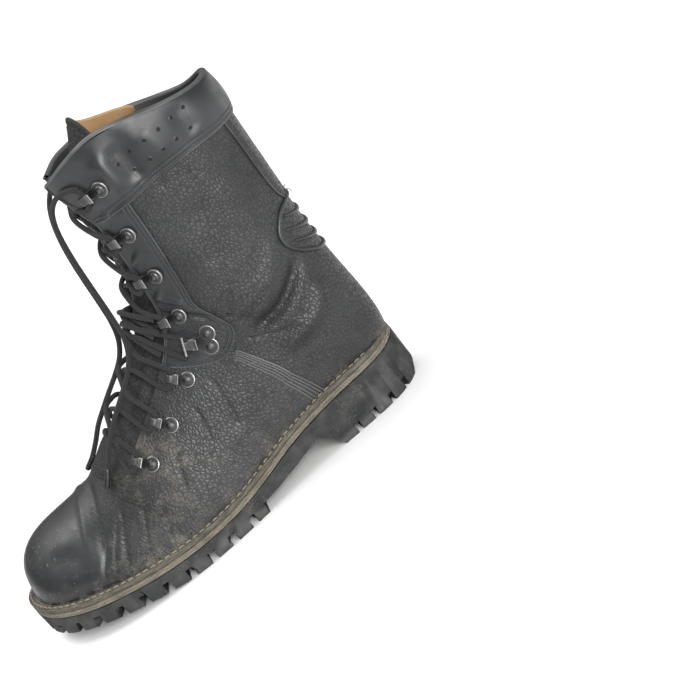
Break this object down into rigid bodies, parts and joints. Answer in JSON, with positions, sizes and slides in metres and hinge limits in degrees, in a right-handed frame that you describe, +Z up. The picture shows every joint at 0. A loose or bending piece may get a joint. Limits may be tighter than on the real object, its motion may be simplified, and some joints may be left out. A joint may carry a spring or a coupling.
{
  "type": "muddy work boot",
  "caption": "Left high-shaft leather work boot standing empty on a lugged rubber sole, open at collar and throat, with speed hooks, laces and a bellows tongue.",
  "frame": {"origin": "middle of the boot's footprint box, on the floor", "axes": "+X towards the heel, -X towards the toe, +Y towards the medial (inner) side, -Y towards the lateral (outer) side, +Z up"},
  "size_m": [0.3156, 0.1194, 0.267],
  "materials": {
    "sole_rubber": "dusty black rubber",
    "midsole_board": "dirty grey-brown edge",
    "welt_strip": "dusty tan strip with stitches",
    "insole_lining": "worn tan leather",
    "upper_leather": "black pebbled and smooth leather, scuffed and muddy",
    "tongue_leather": "black grained leather",
    "hook_metal": "black enamel worn to bright steel at the edges",
    "lace_cord": "braided black cord"
  },
  "bodies": {
    "root": {"outsole": "sole_rubber", "midsole": "midsole_board", "welt": "welt_strip", "insole": "insole_lining", "upper": "upper_leather", "tongue": "tongue_leather", "shaft_hook_1_lateral": "hook_metal", "shaft_hook_2_lateral": "hook_metal", "shaft_hook_3_lateral": "hook_metal", "shaft_hook_4_lateral": "hook_metal", "lock_hook_lateral": "hook_metal", "vamp_hook_1_lateral": "hook_metal", "vamp_hook_2_lateral": "hook_metal", "vamp_hook_3_lateral": "hook_metal", "shaft_hook_1_medial": "hook_metal", "shaft_hook_2_medial": "hook_metal", "shaft_hook_3_medial": "hook_metal", "shaft_hook_4_medial": "hook_metal", "lock_hook_medial": "hook_metal", "vamp_hook_1_medial": "hook_metal", "vamp_hook_2_medial": "hook_metal", "vamp_hook_3_medial": "hook_metal", "lace_crossing_1": "lace_cord", "lace_crossing_2": "lace_cord", "lace_crossing_3": "lace_cord", "lace_crossing_4": "lace_cord", "lace_crossing_5": "lace_cord", "lace_crossing_6": "lace_cord", "lace_crossing_7": "lace_cord", "lace_bar": "lace_cord", "lace_end_lateral": "lace_cord", "lace_end_medial": "lace_cord"}
  },
  "joints": []
}
